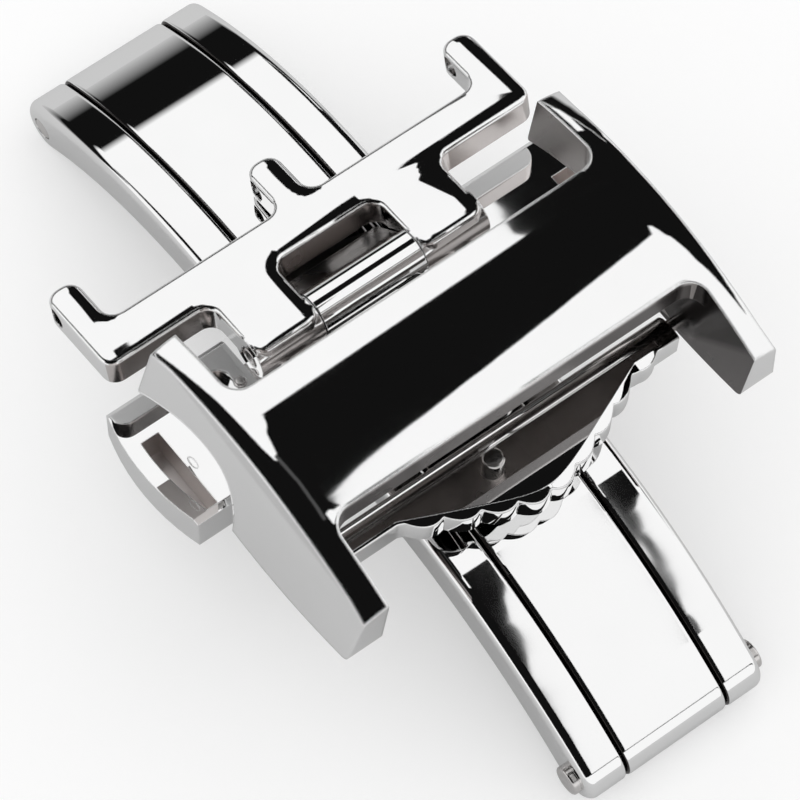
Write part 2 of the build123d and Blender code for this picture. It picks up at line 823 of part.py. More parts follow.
# One file for each piece
os.makedirs("parts", exist_ok=True)
export_step(base_frame.part, "parts/base_frame.step")
export_step(hinge_pin_link, "parts/hinge_pin_link.step")
export_step(hinge_pin_cover.part, "parts/hinge_pin_cover.step")
export_step(link_wing.part, "parts/link_wing_blade.step")
export_step(link_pin, "parts/link_pin.step")
export_step(strap_link.part, "parts/strap_link.step")
export_step(cover_wing.part, "parts/cover_wing_blade.step")
export_step(cover.part, "parts/cover.step")
export_step(strap_bed.part, "parts/strap_bed.step")
export_step(bed_rivets.part, "parts/bed_rivets.step")
export_step(strap_peg.part, "parts/strap_peg.step")
export_step(jaw_pin, "parts/jaw_pin.step")
export_step(strap_jaw.part, "parts/strap_jaw.step")
export_step(pusher_left, "parts/pusher_left.step")
export_step(pusher_right, "parts/pusher_right.step")
export_step(set_pins_left, "parts/set_pins_left.step")
export_step(set_pins_right, "parts/set_pins_right.step")
export_step(catch_left, "parts/catch_left.step")
export_step(catch_right, "parts/catch_right.step")
export_step(catch_rivet_left, "parts/catch_rivet_left.step")
export_step(catch_rivet_right, "parts/catch_rivet_right.step")
export_step(guide_pins_left, "parts/guide_pins_left.step")
export_step(guide_pins_right, "parts/guide_pins_right.step")
export_step(springs_left, "parts/pusher_springs_left.step")
export_step(springs_right, "parts/pusher_springs_right.step")
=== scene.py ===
import json
import math

import bmesh
import bpy
from mathutils import Matrix, Vector


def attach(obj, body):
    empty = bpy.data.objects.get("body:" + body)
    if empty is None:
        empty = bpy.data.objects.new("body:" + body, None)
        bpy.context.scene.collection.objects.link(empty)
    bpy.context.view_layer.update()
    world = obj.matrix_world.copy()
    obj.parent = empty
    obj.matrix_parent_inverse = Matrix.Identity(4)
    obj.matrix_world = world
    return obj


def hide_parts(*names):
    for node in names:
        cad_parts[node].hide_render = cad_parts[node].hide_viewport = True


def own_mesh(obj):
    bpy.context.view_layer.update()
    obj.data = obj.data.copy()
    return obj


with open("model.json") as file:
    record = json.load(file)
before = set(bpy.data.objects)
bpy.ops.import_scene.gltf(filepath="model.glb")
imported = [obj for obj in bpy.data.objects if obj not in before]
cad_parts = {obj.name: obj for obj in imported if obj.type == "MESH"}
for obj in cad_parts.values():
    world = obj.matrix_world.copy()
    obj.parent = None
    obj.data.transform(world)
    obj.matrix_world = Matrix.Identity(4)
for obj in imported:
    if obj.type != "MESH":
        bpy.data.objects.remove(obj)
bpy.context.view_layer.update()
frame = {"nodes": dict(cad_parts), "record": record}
nodes = frame["nodes"]
scene = bpy.context.scene

# Shapes are given in millimetres. Materials, cards and the camera's target are in metres.
MM = 0.001
BASE_TOP = 6.8615

# Marks on the steel: noise scales and details, and how far worn edges go dull
SMEAR_SCALE, BRUSH_SCALE, DENT_SCALE = 260.0, 9000.0, 420.0
SMEAR_DETAIL, BRUSH_DETAIL, DENT_DETAIL = 5.0, 2.0, 1.0
SMEAR_LOW, SMEAR_HIGH, SMEAR_TINT = 0.3, 0.7, 0.95
EDGE_FLAT, EDGE_TURNED, EDGE_DULL, EDGE_SAMPLES = 0.999, 0.95, 0.06, 6


def marks(tree, place, scale, stretch, detail):
    """Noise over the object, drawn out along an axis by a stretch."""
    turn = tree.nodes.new("ShaderNodeMapping")
    turn.inputs["Scale"].default_value = stretch
    tree.links.new(place.outputs["Object"], turn.inputs["Vector"])
    noise = tree.nodes.new("ShaderNodeTexNoise")
    noise.inputs["Scale"].default_value = scale
    noise.inputs["Detail"].default_value = detail
    tree.links.new(turn.outputs["Vector"], noise.inputs["Vector"])
    return noise.outputs["Fac"]


def spread(tree, value, from_min, from_max, to_min, to_max):
    """Value moved from one range to another."""
    node = tree.nodes.new("ShaderNodeMapRange")
    node.inputs["From Min"].default_value = from_min
    node.inputs["From Max"].default_value = from_max
    node.inputs["To Min"].default_value = to_min
    node.inputs["To Max"].default_value = to_max
    tree.links.new(value, node.inputs["Value"])
    return node.outputs["Result"]


def steel(name, color, rough_range, grain, depths, edge_round):
    """Steel with smears, buffing dents, brushing and edges that handling has softened.

    Depths are those of the brushed lines and of the dents.
    """
    mat = bpy.data.materials.new(name)
    mat.use_nodes = True
    tree = mat.node_tree
    shader = tree.nodes["Principled BSDF"]
    shader.inputs["Metallic"].default_value = 1.0
    place = tree.nodes.new("ShaderNodeTexCoord")
    smears = marks(tree, place, SMEAR_SCALE, EVEN, SMEAR_DETAIL)

    edge = tree.nodes.new("ShaderNodeBevel")
    edge.samples = EDGE_SAMPLES
    edge.inputs["Radius"].default_value = edge_round
    flat = tree.nodes.new("ShaderNodeNewGeometry")
    facing = tree.nodes.new("ShaderNodeVectorMath")
    facing.operation = "DOT_PRODUCT"
    tree.links.new(edge.outputs["Normal"], facing.inputs[0])
    tree.links.new(flat.outputs["Normal"], facing.inputs[1])
    wear = spread(tree, facing.outputs["Value"], EDGE_FLAT, EDGE_TURNED, 0.0, EDGE_DULL)
    rough = tree.nodes.new("ShaderNodeMath")
    rough.operation = "ADD"
    tree.links.new(spread(tree, smears, SMEAR_LOW, SMEAR_HIGH, *rough_range), rough.inputs[0])
    tree.links.new(wear, rough.inputs[1])
    tree.links.new(rough.outputs["Value"], shader.inputs["Roughness"])

    tint = tree.nodes.new("ShaderNodeMix")
    tint.data_type = "RGBA"
    tint.inputs["A"].default_value = (*[c * SMEAR_TINT for c in color], 1.0)
    tint.inputs["B"].default_value = (*color, 1.0)
    tree.links.new(smears, tint.inputs["Factor"])
    tree.links.new(tint.outputs["Result"], shader.inputs["Base Color"])

    brush_depth, dent_depth = depths
    dents = marks(tree, place, DENT_SCALE, EVEN, DENT_DETAIL)
    lines = marks(tree, place, BRUSH_SCALE, grain, BRUSH_DETAIL)
    normal = edge.outputs["Normal"]
    for height, depth in ((dents, dent_depth), (lines, brush_depth)):
        bump = tree.nodes.new("ShaderNodeBump")
        bump.inputs["Strength"].default_value = 1.0
        bump.inputs["Distance"].default_value = depth
        tree.links.new(height, bump.inputs["Height"])
        tree.links.new(normal, bump.inputs["Normal"])
        normal = bump.outputs["Normal"]
    tree.links.new(normal, shader.inputs["Normal"])
    return mat


# Grain: even, or brushed lines across the strap or along the base
EVEN, ACROSS, LENGTHWISE = (1.0, 1.0, 1.0), (0.05, 1.0, 1.0), (1.0, 0.05, 1.0)
POLISH_EDGE, COVER_EDGE, LINK_EDGE, PIN_EDGE = 0.00006, 0.00022, 0.00012, 0.00003
MIRROR, MIRROR_ROUGH, MIRROR_DEPTHS = (0.95, 0.95, 0.95), (0.012, 0.03), (1e-8, 1.5e-6)

polish = steel("polished_steel", MIRROR, MIRROR_ROUGH, EVEN, MIRROR_DEPTHS, POLISH_EDGE)
link_polish = steel("link_polish", MIRROR, MIRROR_ROUGH, EVEN, MIRROR_DEPTHS, LINK_EDGE)
cover_polish = steel("cover_polish", MIRROR, MIRROR_ROUGH, EVEN, MIRROR_DEPTHS, COVER_EDGE)
satin = steel(
    "satin_steel", (0.72, 0.7, 0.69), (0.16, 0.24), LENGTHWISE, (6e-8, 1e-6), PIN_EDGE
)
# Darker satin for the strap bed and its rivets; the same colour is painted shade on the blade's
# top in the link's window
dark_bed_and_well_shade = steel("dark_bed_and_well_shade", (0.3, 0.28, 0.27), (0.22, 0.3), ACROSS, (1e-7, 1e-6), PIN_EDGE)
# Satin with painted shade: the faces under the arch are given a darker colour
inner_satin_painted_shade = steel(
    "inner_satin_painted_shade", (0.5, 0.47, 0.455), (0.2, 0.3), LENGTHWISE, (8e-8, 1e-6), PIN_EDGE
)
wall_satin = steel(
    "wall_satin", (0.66, 0.62, 0.605), (0.2, 0.28), ACROSS, (4e-8, 1e-6), PIN_EDGE
)
# Lighter satin for the crossbar's front, with painted shade under its lip
front_satin_painted_shade = steel(
    "front_satin_painted_shade", (0.84, 0.81, 0.8), (0.22, 0.3), ACROSS, (4e-8, 1e-6), PIN_EDGE
)
# Painted shade: the arms' inner faces beside the jaw are given a dark colour
arm_satin_painted_shade = steel(
    "arm_satin_painted_shade", (0.24, 0.225, 0.222), (0.2, 0.28), ACROSS, (4e-8, 1e-6), PIN_EDGE
)
# Painted shade: the rounds and walls in the grooves are given a near-black colour
groove_painted_shade = steel(
    "groove_painted_shade", (0.06, 0.055, 0.053), (0.2, 0.28), LENGTHWISE, (0, 0), PIN_EDGE
)
# Painted light: the undersides of the arms and the pushers' slots are given a bright colour
slot_painted_light = steel(
    "slot_painted_light", (0.98, 0.93, 0.91), (0.3, 0.4), LENGTHWISE, (8e-8, 0), PIN_EDGE
)
wire = steel("spring_wire", (0.6, 0.6, 0.62), (0.22, 0.3), EVEN, (3e-8, 0), PIN_EDGE)

finishes = {"polished_steel": polish, "satin_steel": satin, "spring_steel": wire}
slots = {s["node"]: s["material_slot"] for s in frame["record"]["subparts"]}
for node_name, node in nodes.items():
    node.data.materials.clear()
    node.data.materials.append(finishes[slots[node_name]])
for node_name in ("strap_bed", "bed_rivets"):
    nodes[node_name].data.materials[0] = dark_bed_and_well_shade
nodes["cover"].data.materials[0] = cover_polish


def paint_shade_towards(mat, dark, direction, start, full):
    """Painted shade: the base colour turns dark between two distances along a direction, as in a
    recess.
    """
    tree = mat.node_tree
    shader = tree.nodes["Principled BSDF"]
    color = shader.inputs["Base Color"].links[0].from_socket
    place = tree.nodes.new("ShaderNodeTexCoord")
    along = tree.nodes.new("ShaderNodeVectorMath")
    along.operation = "DOT_PRODUCT"
    along.inputs[1].default_value = direction
    tree.links.new(place.outputs["Object"], along.inputs[0])
    shade = tree.nodes.new("ShaderNodeMix")
    shade.data_type = "RGBA"
    shade.inputs["B"].default_value = (*dark, 1.0)
    tree.links.new(
        spread(tree, along.outputs["Value"], start, full, 0.0, 1.0), shade.inputs["Factor"]
    )
    tree.links.new(color, shade.inputs["A"])
    tree.links.new(shade.outputs["Result"], shader.inputs["Base Color"])


# Painted shade: the crossbar's front is painted darker under its lip, and the arms darker towards
# the crossbar
CROSSBAR_FRONT, CROSSBAR_SHADE, DOWN = (-0.01425, -0.01395), (0.1, 0.088, 0.085), (0, 0, -1)
ARM_CORNER, ARM_SHADE, TO_CROSSBAR = (-0.0009, -0.0002), (0.04, 0.033, 0.031), (0, 1.08, 1)
paint_shade_towards(front_satin_painted_shade, CROSSBAR_SHADE, DOWN, *CROSSBAR_FRONT)
paint_shade_towards(arm_satin_painted_shade, ARM_SHADE, TO_CROSSBAR, *ARM_CORNER)


def finish_faces(node_name, mat, wanted):
    """Second material on the faces of a node that a test on centre and normal picks: a finish,
    painted shade or painted light.
    """
    mesh = nodes[node_name].data
    mesh.materials.append(mat)
    for face in mesh.polygons:
        if wanted(face.center / MM, face.normal):
            face.material_index = len(mesh.materials) - 1


# Bounds of the second finishes and of the painted shade and light: places in millimetres, and how
# far a face has to lean
CROSSBAR_HALF, ARM_INSIDE, CROSSBAR_FRONT_Y, ARM_FRONT_Y = 9.0, 9.25, -6.0, -7.0
ARCH_LEAN_DOWN, ARCH_LEAN_IN, FRONT_LEAN, ARM_LEAN_DOWN = -0.15, 0.4, -0.8, -0.3
ARM_LEAN_IN = -6.0
BLADE_HALF, BLADE_WELL_Y, BLADE_WELL_Z = 2.7, (2.2, 4.7), 6.4
GROOVE_X, GROOVE_START_Y, GROOVE_LEAN, GROOVE_UPPER = (2.4, 2.85), 5.0, 0.5, -0.3
SLOT_X, SLOT_Y, SLOT_Z = (10.2, 11.6), (-2.45, 1.92), (4.0, 5.9)


def between(value, limits):
    """Whether a value lies between two limits."""
    return limits[0] < value < limits[1]


def in_arch(c, n):
    """Underside of the crossbar and the inner faces of the arms."""
    leans_in = n.x * c.x < 0 and abs(n.x) > ARCH_LEAN_IN
    return abs(c.x) < ARM_INSIDE and (n.z < ARCH_LEAN_DOWN or leans_in)


def on_crossbar_front(c, n):
    """Wall of the crossbar over the jaw."""
    return abs(c.x) < CROSSBAR_HALF and n.y < FRONT_LEAN and c.y < CROSSBAR_FRONT_Y


def on_front_arms(c, n):
    """Inner faces of the two arms beside the jaw."""
    inner = between(abs(c.x), (CROSSBAR_HALF, ARM_INSIDE)) and n.x * c.x < ARM_LEAN_IN
    return inner and c.y < ARM_FRONT_Y


def in_blade_well(c, n):
    """Top of the link wing's blade in the link's window."""
    return abs(c.x) < BLADE_HALF and between(c.y, BLADE_WELL_Y) and c.z > BLADE_WELL_Z


def in_groove(c, n):
    """Rounds and walls that face each other between a rail and a blade."""
    rounds = between(abs(c.x), GROOVE_X) and abs(n.x) > GROOVE_LEAN and n.z > GROOVE_UPPER
    return rounds and abs(c.y) > GROOVE_START_Y


def under_arms(c, n):
    """Lower faces of the arms, over the pushers."""
    return abs(c.x) > ARM_INSIDE and n.z < ARM_LEAN_DOWN


def in_pusher_slot(c, n):
    """Walls and floor of a pusher's slot."""
    return between(abs(c.x), SLOT_X) and between(c.y, SLOT_Y) and between(c.z, SLOT_Z)


# Painted shade under the arch
finish_faces("cover", inner_satin_painted_shade, in_arch)
# Painted shade on the crossbar's front, under its lip
finish_faces("cover", front_satin_painted_shade, on_crossbar_front)
# Painted shade on the arms' inner faces beside the jaw
finish_faces("cover", arm_satin_painted_shade, on_front_arms)
# Painted shade on the blade's top in the link's window
finish_faces("link_wing_blade", dark_bed_and_well_shade, in_blade_well)
# Painted shade in the grooves between rails and blades
for node_name in ("base_frame", "link_wing_blade", "cover_wing_blade"):
    finish_faces(node_name, groove_painted_shade, in_groove)
# Painted light under the arms and in the pushers' slots
finish_faces("cover", slot_painted_light, under_arms)
for node_name in ("pusher_left", "pusher_right"):
    finish_faces(node_name, slot_painted_light, in_pusher_slot)


def finish_mesh(name, bm, place, mat, sharp):
    """Object of a finished mesh, with its place in the mesh."""
    bmesh.ops.recalc_face_normals(bm, faces=bm.faces)
    bm.transform(place)
    mesh = bpy.data.meshes.new(name)
    bm.to_mesh(mesh)
    bm.free()
    mesh.materials.append(mat)
    mesh.shade_smooth()
    mesh.set_sharp_from_angle(angle=math.radians(sharp))
    obj = bpy.data.objects.new(name, mesh)
    scene.collection.objects.link(obj)
    return obj


def round_edges(bm, edges, offset, segments):
    """Edges rounded off with an even profile."""
    bmesh.ops.bevel(
        bm,
        geom=edges,
        offset=offset,
        affect="EDGES",
        segments=segments,
        profile=0.5,
        material=-1,
    )


def crosswise_rod(bm, radius, y, z, start, end, segments=64):
    """Rod that runs across the strap."""
    middle = Matrix.Translation(((start + end) / 2, y, z)) @ Matrix.Rotation(math.pi / 2, 4, "Y")
    return bmesh.ops.create_cone(
        bm,
        cap_ends=True,
        segments=segments,
        radius1=radius,
        radius2=radius,
        depth=end - start,
        matrix=middle,
    )["verts"]


# Scalloped jaw: a rolled barrel on the pin and a plate whose front has nine rounded scallops.
# Its numbers are in the frame of the cover, which leans a little on the base.
COVER_PIVOT_Y, COVER_TILT = -5.2, math.radians(3.5)
cover_place = (
    Matrix.Translation(Vector((0, COVER_PIVOT_Y, BASE_TOP)) * MM)
    @ Matrix.Rotation(COVER_TILT, 4, "X")
    @ Matrix.Scale(MM, 4)
)
JAW_HALF, JAW_PIN_Y, JAW_PIN_Z, JAW_TOP, JAW_FOOT = 8.8, -2.65, 1.95, 2.5, 1.12
BARREL_R, BARREL_ROUND, BARREL_SEGMENTS, BARREL_RIM_FOLD = 0.6, 0.12, 72, 1.0
NOSE_X, NOSE_Y, NOSE_R, NOSE_SLOPE, SHOULDER_Y = 0.4, -5.78, 1.2, 0.46, -3.45
SCALLOP_X, SCALLOP_PITCH, SCALLOP_DEPTH, SCALLOP_POWER = 0.35, 1.45, 0.3, 0.8
SCALLOPED = (-5.45, 7.6)
# Rim that slopes up from the lip to the top, with the small rounds at both of its edges
RIM_WIDTH, RIM_SLOPE, RIM_BLEND = 0.14, 0.5, 0.035
LIP_DROP, LIP_IN, LIP_UP, LIP_BACK = 0.075, 0.015, 0.04, 0.035
LIP_SUPPORT, TOP_SUPPORT = 0.02, 0.03
JAW_STEPS, JAW_SHARP, SAME_POINT = 190, 40, 1e-4


def jaw_line(x):
    """Smooth front line of the jaw: a rounded nose between two straight shoulders."""
    line = NOSE_Y + NOSE_SLOPE * (math.hypot(x - NOSE_X, NOSE_R) - NOSE_R)
    return min(line, SHOULDER_Y)


def jaw_front(x):
    """Front line with its scallops, which stand out from the smooth line."""
    if not between(x, SCALLOPED):
        return jaw_line(x)
    wave = abs(math.sin(math.pi * (x - SCALLOP_X) / SCALLOP_PITCH)) ** SCALLOP_POWER
    return jaw_line(x) - SCALLOP_DEPTH * wave


def rim_z(x, y):
    """Height of the sloping rim."""
    return JAW_TOP - RIM_SLOPE * (jaw_line(x) + RIM_WIDTH - y)


def extend(bm, row, move):
    """Row of faces from a chain of vertices to its moved copy, which comes back."""
    moved = [bm.verts.new(move(vert.co)) for vert in row]
    for near, far in zip(zip(row, row[1:]), zip(moved, moved[1:])):
        bm.faces.new((*reversed(near), *far))
    return moved


def jaw_plate(bm):
    """Plate of the jaw, drawn up from its foot line, over the rim and back to the barrel."""
    row = []
    for step in range(JAW_STEPS + 1):
        x = JAW_HALF * (2 * step / JAW_STEPS - 1)
        row.append(bm.verts.new((x, jaw_front(x), JAW_FOOT)))
    moves = (
        lambda c: (c.x, c.y, rim_z(c.x, c.y) - LIP_DROP),
        lambda c: (c.x, c.y + LIP_IN, c.z + LIP_UP),
        lambda c: (c.x, c.y + LIP_BACK, rim_z(c.x, c.y + LIP_BACK)),
        lambda c: (c.x, c.y + LIP_SUPPORT, rim_z(c.x, c.y + LIP_SUPPORT)),
        lambda c: (c.x, jaw_line(c.x) + RIM_WIDTH - RIM_BLEND, JAW_TOP - RIM_SLOPE * RIM_BLEND),
        lambda c: (c.x, jaw_line(c.x) + RIM_WIDTH + RIM_BLEND, JAW_TOP),
        lambda c: (c.x, c.y + TOP_SUPPORT, JAW_TOP),
        lambda c: (c.x, JAW_PIN_Y, JAW_TOP),
        lambda c: (c.x, c.y, JAW_FOOT),
        lambda c: (c.x, jaw_front(c.x), c.z),
    )
    for move in moves:
        row = extend(bm, row, move)
    bmesh.ops.remove_doubles(bm, verts=bm.verts, dist=SAME_POINT)
    bmesh.ops.holes_fill(bm, edges=[e for e in bm.edges if e.is_boundary])


def make_jaw():
    """Jaw as one piece in the cover's tilted frame."""
    bm = bmesh.new()
    jaw_plate(bm)
    barrel = crosswise_rod(
        bm, BARREL_R, JAW_PIN_Y, JAW_PIN_Z, -JAW_HALF, JAW_HALF, BARREL_SEGMENTS
    )
    rims = [e for v in barrel for e in v.link_edges if e.calc_face_angle() > BARREL_RIM_FOLD]
    round_edges(bm, list(dict.fromkeys(rims)), BARREL_ROUND, 3)
    return finish_mesh("scalloped_jaw", bm, cover_place, polish, JAW_SHARP)


jaw = make_jaw()
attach(jaw, "jaw")
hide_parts("strap_jaw")


# Strap link: a plate with three lugs and two block arms over the barrel, bored for its pins.
# Its numbers are in the link's own frame, from the middle of the barrel.
BARREL_Y, BARREL_Z, LINK_TILT = 1.42, BASE_TOP + 1.54, math.radians(10.2)
link_place = (
    Matrix.Translation(Vector((0, BARREL_Y, BARREL_Z)) * MM)
    @ Matrix.Rotation(-LINK_TILT, 4, "X")
    @ Matrix.Scale(MM, 4)
)
LINK_TOP, LINK_FLOOR, LINK_SHARP = 1.0, -0.45, 30
ARM_FRONT, ARM_BACK, ARM_INNER_X, ARM_OUTER_X = -0.9, 2.7, 2.65, 5.9
LINK_HALF, LUG_TIP, LUG_ROOT, SIDE_LUG_X, MIDDLE_LUG_X = 11.1, 7.6, 4.85, 9.55, 0.775
KNUCKLE_R, LINK_PIN_R, LUG_BORE_R, LUG_BORE_Y, LUG_BORE_Z = 1.02, 0.49, 0.5, 6.8, 0.3
BORE_REACH, PLACE_DIGITS = 12, 5
# The pillow's width and the top's round together stay below the corners' round
CORNER_ROUND, TOP_ROUND, FOOT_ROUND = 0.66, 0.24, 0.1
PILLOW_WIDTH, PILLOW_RISE = 0.36, 0.06
LEVEL, LINK_WALL_LEAN, LINK_WALL_LEVEL = 0.99, -0.5, 0.6
right_outline = (
    (ARM_INNER_X, ARM_BACK),
    (ARM_INNER_X, ARM_FRONT),
    (ARM_OUTER_X, ARM_FRONT),
    (ARM_OUTER_X, ARM_BACK),
    (LINK_HALF, ARM_BACK),
    (LINK_HALF, LUG_TIP),
    (SIDE_LUG_X, LUG_TIP),
    (SIDE_LUG_X, LUG_ROOT),
    (MIDDLE_LUG_X, LUG_ROOT),
    (MIDDLE_LUG_X, LUG_TIP),
)


def rim_edges(bm, height):
    """Outer edges of the flat face at a height."""
    flat = [
        f
        for f in bm.faces
        if abs(f.normal.z) > LEVEL and abs(f.calc_center_median().z - height) < SAME_POINT
    ]
    return [e for f in flat for e in f.edges]


def even_normals(obj):
    """Flat faces keep their own normal, and the rounds beside them blend into it."""
    even = obj.modifiers.new("even_normals", "WEIGHTED_NORMAL")
    even.weight = 100
    even.keep_sharp = True


def bore(obj, drill):
    """Mesh of an object with a drill's shape cut out; the drill goes."""
    cut = obj.modifiers.new("bore", "BOOLEAN")
    cut.operation = "DIFFERENCE"
    cut.solver = "EXACT"
    cut.use_self = True
    cut.object = drill
    graph = bpy.context.evaluated_depsgraph_get()
    mesh = bpy.data.meshes.new_from_object(obj.evaluated_get(graph))
    obj.modifiers.clear()
    obj.data = mesh
    bpy.data.objects.remove(drill)


def link_plate(bm):
    """Plate of the link with round corners, a pillowed top and an eased foot."""
    outline = [*right_outline, *((-x, y) for x, y in reversed(right_outline))]
    foot = [bm.verts.new((x, y, LINK_FLOOR)) for x, y in outline]
    top = [bm.verts.new((x, y, LINK_TOP)) for x, y in outline]
    bm.faces.new(foot)
    bm.faces.new(top)
    for near, far in zip(zip(foot, foot[1:] + foot[:1]), zip(top, top[1:] + top[:1])):
        bm.faces.new((*near, *reversed(far)))
    bmesh.ops.recalc_face_normals(bm, faces=bm.faces)
    height = LINK_TOP - LINK_FLOOR
    uprights = [
        e for e in bm.edges if abs(e.verts[0].co.z - e.verts[1].co.z) > height - SAME_POINT
    ]
    round_edges(bm, uprights, CORNER_ROUND, 6)
    bm.normal_update()
    round_edges(bm, rim_edges(bm, LINK_TOP), TOP_ROUND, 5)
    bm.normal_update()
    crown = [
        f
        for f in bm.faces
        if f.normal.z > LEVEL and f.calc_center_median().z > LINK_TOP - SAME_POINT
    ]
    bmesh.ops.inset_region(bm, faces=crown, thickness=PILLOW_WIDTH)
    for face in crown:
        for vert in face.verts:
            vert.co.z = LINK_TOP + PILLOW_RISE
    bmesh.ops.triangulate(bm, faces=crown, ngon_method="EAR_CLIP")
    bm.normal_update()
    round_edges(bm, rim_edges(bm, LINK_FLOOR), FOOT_ROUND, 2)


def in_order(bm):
    """Fresh copy of a mesh, in an order that comes from the places of its vertices alone."""
    places = {vert: tuple(round(c, PLACE_DIGITS) for c in vert.co) for vert in bm.verts}
    verts = sorted(bm.verts, key=places.get)
    rank = {vert: number for number, vert in enumerate(verts)}
    fresh = bmesh.new()
    made = [fresh.verts.new(places[vert]) for vert in verts]
    for ring in sorted([rank[vert] for vert in face.verts] for face in bm.faces):
        fresh.faces.new([made[number] for number in ring])
    bm.free()
    return fresh


def make_link():
    """Link as one piece, with its knuckles round the barrel and its bores."""
    bm = bmesh.new()
    link_plate(bm)
    # The order in which a bevel leaves its faces changes from run to run, and the bores follow it
    bm = in_order(bm)
    for start, end in ((-ARM_OUTER_X, -ARM_INNER_X), (ARM_INNER_X, ARM_OUTER_X)):
        crosswise_rod(bm, KNUCKLE_R, 0, 0, start, end)
    obj = finish_mesh("three_lug_link", bm, link_place, link_polish, LINK_SHARP)
    drill = bmesh.new()
    crosswise_rod(drill, LINK_PIN_R, 0, 0, -BORE_REACH, BORE_REACH)
    crosswise_rod(drill, LUG_BORE_R, LUG_BORE_Y, LUG_BORE_Z, -BORE_REACH, BORE_REACH)
    bore(obj, finish_mesh("link_drill", drill, link_place, link_polish, LINK_SHARP))
    obj.data.set_sharp_from_angle(angle=math.radians(LINK_SHARP))
    even_normals(obj)
    obj.data.materials.append(wall_satin)
    for face in obj.data.polygons:
        if face.normal.y < LINK_WALL_LEAN and abs(face.normal.z) < LINK_WALL_LEVEL:
            face.material_index = 1
    return obj


link = make_link()
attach(link, "link")
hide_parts("strap_link")


# Springs: merged copies of the coils, attached to the base
SAME_WIRE_POINT, WIRE_SHARP = 1e-7, 40


def make_springs(side):
    """Merged copy of the coils of one pusher."""
    bm = bmesh.new()
    bm.from_mesh(nodes["pusher_springs_" + side].data)
    bmesh.ops.remove_doubles(bm, verts=bm.verts, dist=SAME_WIRE_POINT)
    obj = finish_mesh("coil_springs_" + side, bm, Matrix.Identity(4), wire, WIRE_SHARP)
    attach(obj, "base")
    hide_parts("pusher_springs_" + side)
    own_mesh(obj)


make_springs("left")
make_springs("right")


def plane(name, corners, mat):
    """Flat card with its corners in metres."""
    mesh = bpy.data.meshes.new(name)
    bm = bmesh.new()
    bm.faces.new([bm.verts.new(c) for c in corners])
    bm.to_mesh(mesh)
    bm.free()
    obj = bpy.data.objects.new(name, mesh)
    mesh.materials.append(mat)
    scene.collection.objects.link(obj)
    return obj


def empty_material(name):
    """Material with an output alone, and its tree."""
    mat = bpy.data.materials.new(name)
    mat.use_nodes = True
    tree = mat.node_tree
    tree.nodes.clear()
    return mat, tree, tree.nodes.new("ShaderNodeOutputMaterial").inputs["Surface"]


def card_material(name, value):
    """Unlit paper of one grey."""
    mat, tree, surface = empty_material(name)
    glow = tree.nodes.new("ShaderNodeEmission")
    glow.inputs["Color"].default_value = (value, value, value, 1.0)
    tree.links.new(glow.outputs["Emission"], surface)
    return mat


def feather(mat, edges):
    """Card whose grey changes with its height, over soft bands of (low, high, from, to)."""
    tree = mat.node_tree
    place = tree.nodes.new("ShaderNodeTexCoord")
    axes = tree.nodes.new("ShaderNodeSeparateXYZ")
    tree.links.new(place.outputs["Object"], axes.inputs["Vector"])
    grey = tree.nodes.new("ShaderNodeMath")
    grey.operation = "MAXIMUM"
    for socket, band in zip(grey.inputs, edges):
        tree.links.new(spread(tree, axes.outputs["Z"], *band), socket)
    tree.links.new(grey.outputs["Value"], tree.nodes["Emission"].inputs["Color"])


